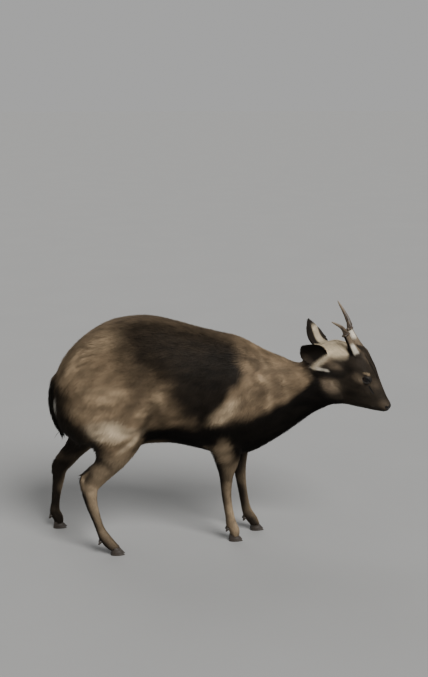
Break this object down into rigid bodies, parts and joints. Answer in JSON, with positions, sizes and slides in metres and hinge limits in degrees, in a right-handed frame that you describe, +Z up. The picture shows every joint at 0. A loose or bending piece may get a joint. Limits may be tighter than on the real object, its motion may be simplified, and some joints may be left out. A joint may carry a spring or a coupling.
{
  "type": "muntjac",
  "caption": "Standing muntjac buck with lowered head, short hooked antlers on long pedicles, cupped ears, slim legs and cloven hooves.",
  "frame": {"origin": "on the floor, under the middle of the animal's bounding box", "axes": "+X the way the body faces, +Y to the animal's left, +Z up"},
  "size_m": [0.83, 0.2404, 0.5862],
  "materials": {
    "coat_body": "short dense hair, very dark brown",
    "coat_neck": "short dense hair, grizzled brown",
    "coat_head": "very short hair, brown with dark lines",
    "coat_leg": "very short hair, dark brown",
    "antler": "rubbed bone",
    "horn": "worn dark horn",
    "eye": "wet, very dark"
  },
  "bodies": {
    "root": {"torso": "coat_body", "neck": "coat_neck", "head": "coat_head", "tail": "coat_body", "ear_right": "coat_head", "ear_left": "coat_head", "eye_right": "eye", "eye_left": "eye", "antler_right": "antler", "antler_left": "antler", "foreleg_right": "coat_leg", "foreleg_left": "coat_leg", "hindleg_right": "coat_leg", "hindleg_left": "coat_leg", "hoof_fore_right_inner": "horn", "hoof_fore_right_outer": "horn", "hoof_fore_left_inner": "horn", "hoof_fore_left_outer": "horn", "hoof_hind_right_inner": "horn", "hoof_hind_right_outer": "horn", "hoof_hind_left_inner": "horn", "hoof_hind_left_outer": "horn", "dewclaw_fore_right_inner": "horn", "dewclaw_fore_right_outer": "horn", "dewclaw_fore_left_inner": "horn", "dewclaw_fore_left_outer": "horn", "dewclaw_hind_right_inner": "horn", "dewclaw_hind_right_outer": "horn", "dewclaw_hind_left_inner": "horn", "dewclaw_hind_left_outer": "horn"}
  },
  "joints": []
}
